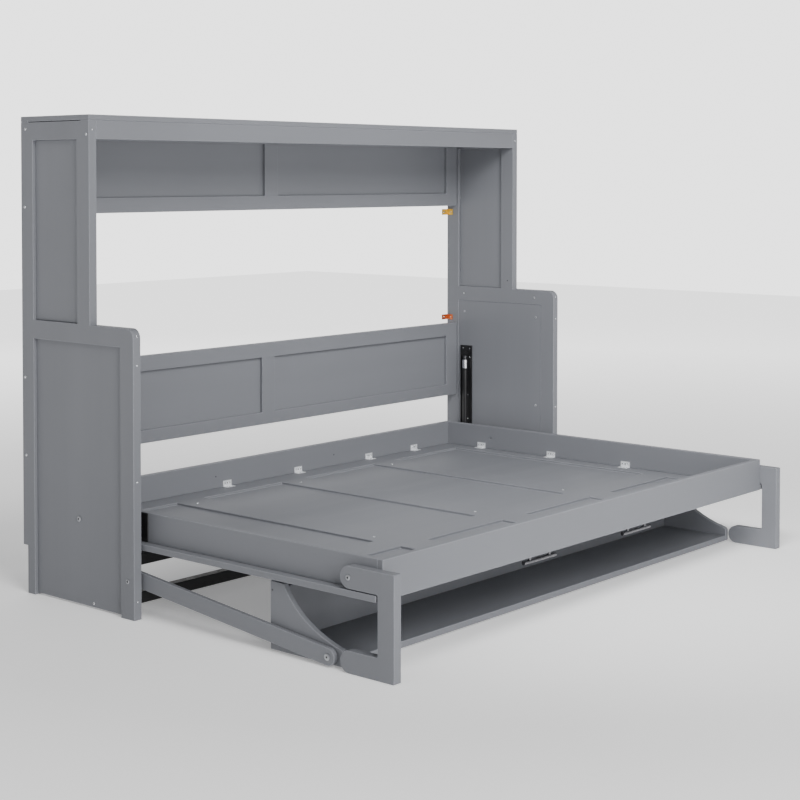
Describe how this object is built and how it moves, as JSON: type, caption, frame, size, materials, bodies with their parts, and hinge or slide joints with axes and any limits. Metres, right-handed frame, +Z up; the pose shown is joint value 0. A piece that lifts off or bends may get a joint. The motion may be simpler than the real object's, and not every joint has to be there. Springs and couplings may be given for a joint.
{
  "type": "murphy wall bed",
  "caption": "Fold-down wall bed in a panelled cabinet, with a slatless framed deck, C-shaped legs and a desk that link bars keep level as the bed folds up.",
  "frame": {"origin": "on the floor under the middle of the object's box, with the bed folded down", "axes": "+X runs along the cabinet towards its right side, -Y points from the wall into the room, +Z is up"},
  "size_m": [2.105, 1.4727, 1.458],
  "materials": {
    "painted_wood": "satin paint",
    "black_steel": "satin black powder coat",
    "zinc_plate": "bright zinc",
    "brushed_nickel": "brushed",
    "chrome_rod": "polished",
    "yellow_zinc": "yellow passivated zinc",
    "copper_plate": "coppered steel"
  },
  "bodies": {
    "cabinet": {"link_wing_bolt_left": "zinc_plate", "link_wing_bolt_right": "zinc_plate", "lower_back_frame": "painted_wood", "lower_back_panel": "painted_wood", "lower_cross_tube": "black_steel", "pivot_bolt_left": "zinc_plate", "pivot_bolt_right": "zinc_plate", "pivot_plate_left": "black_steel", "pivot_plate_right": "black_steel", "side_frame_left": "painted_wood", "side_frame_right": "painted_wood", "side_panel_lower_left": "painted_wood", "side_panel_lower_right": "painted_wood", "side_panel_upper_left": "painted_wood", "side_panel_upper_right": "painted_wood", "strut_channel_left": "black_steel", "strut_channel_right": "black_steel", "top_board": "painted_wood", "top_fascia": "painted_wood", "upper_back_frame": "painted_wood", "upper_back_panel": "painted_wood", "upper_cross_tube": "black_steel", "wall_bracket_lower_left": "copper_plate", "wall_bracket_lower_right": "copper_plate", "wall_bracket_upper_left": "yellow_zinc", "wall_bracket_upper_right": "yellow_zinc"},
    "bed": {"bed_end_rail_left": "painted_wood", "bed_end_rail_right": "painted_wood", "bed_floor": "painted_wood", "bed_front_rail": "painted_wood", "bed_pivot_plate_left": "black_steel", "bed_pivot_plate_right": "black_steel", "bed_rear_rail": "painted_wood", "desk_hinge_upper_1": "black_steel", "desk_hinge_upper_2": "black_steel", "desk_hinge_upper_3": "black_steel", "leg_bolt_left": "zinc_plate", "leg_bolt_right": "zinc_plate", "leg_left": "painted_wood", "leg_right": "painted_wood", "pull_handle_left": "brushed_nickel", "pull_handle_right": "brushed_nickel", "strut_foot_left": "black_steel", "strut_foot_right": "black_steel"},
    "desk": {"desk_back_board": "painted_wood", "desk_bracket_left": "painted_wood", "desk_bracket_right": "painted_wood", "desk_hinge_lower_1": "black_steel", "desk_hinge_lower_2": "black_steel", "desk_hinge_lower_3": "black_steel", "desk_top": "painted_wood", "link_desk_bolt_left": "zinc_plate", "link_desk_bolt_right": "zinc_plate"},
    "link_left": {"link_bar_left": "painted_wood"},
    "link_right": {"link_bar_right": "painted_wood"},
    "strut_rod_left": {"strut_rod_left": "chrome_rod"},
    "strut_rod_right": {"strut_rod_right": "chrome_rod"},
    "strut_tube_left": {"strut_tube_left": "black_steel"},
    "strut_tube_right": {"strut_tube_right": "black_steel"}
  },
  "joints": [
    {"name": "bed_tilt", "type": "hinge", "parent": "cabinet", "child": "bed", "pos_m": [0, 0.47725, 0.2591], "axis": [-1, 0, 0], "range_deg": [0, 84.3]},
    {"name": "desk_level", "type": "hinge", "parent": "bed", "child": "desk", "pos_m": [0, -0.27465, 0.1771], "axis": [-1, 0, 0], "range_deg": [-84.3, 0]},
    {"name": "link_swing_left", "type": "hinge", "parent": "cabinet", "child": "link_left", "pos_m": [-1.0075, 0.24505, 0.1102], "axis": [-1, 0, 0], "range_deg": [0, 84.3]},
    {"name": "strut_swing_left", "type": "hinge", "parent": "cabinet", "child": "strut_rod_left", "pos_m": [-1.005, 0.63185, 0.575], "axis": [-1, 0, 0], "range_deg": [0, 19.2]},
    {"name": "strut_slide_left", "type": "slide", "parent": "strut_rod_left", "child": "strut_tube_left", "axis": [0, 0, -1], "range_m": [0, 0.16]},
    {"name": "link_swing_right", "type": "hinge", "parent": "cabinet", "child": "link_right", "pos_m": [1.0075, 0.24505, 0.1102], "axis": [-1, 0, 0], "range_deg": [0, 84.3]},
    {"name": "strut_swing_right", "type": "hinge", "parent": "cabinet", "child": "strut_rod_right", "pos_m": [1.005, 0.63185, 0.575], "axis": [-1, 0, 0], "range_deg": [0, 19.2]},
    {"name": "strut_slide_right", "type": "slide", "parent": "strut_rod_right", "child": "strut_tube_right", "axis": [0, 0, -1], "range_m": [0, 0.16]}
  ],
  "couplings": [
    {"joint": "desk_level", "follows": "bed_tilt", "ratio": -1},
    {"joint": "link_swing_left", "follows": "bed_tilt", "ratio": 1},
    {"joint": "strut_swing_left", "follows": "bed_tilt", "ratio": 0.2262},
    {"joint": "strut_slide_left", "follows": "bed_tilt", "m_per_rad": 0.1084},
    {"joint": "link_swing_right", "follows": "bed_tilt", "ratio": 1},
    {"joint": "strut_swing_right", "follows": "bed_tilt", "ratio": 0.2262},
    {"joint": "strut_slide_right", "follows": "bed_tilt", "m_per_rad": 0.1084}
  ]
}
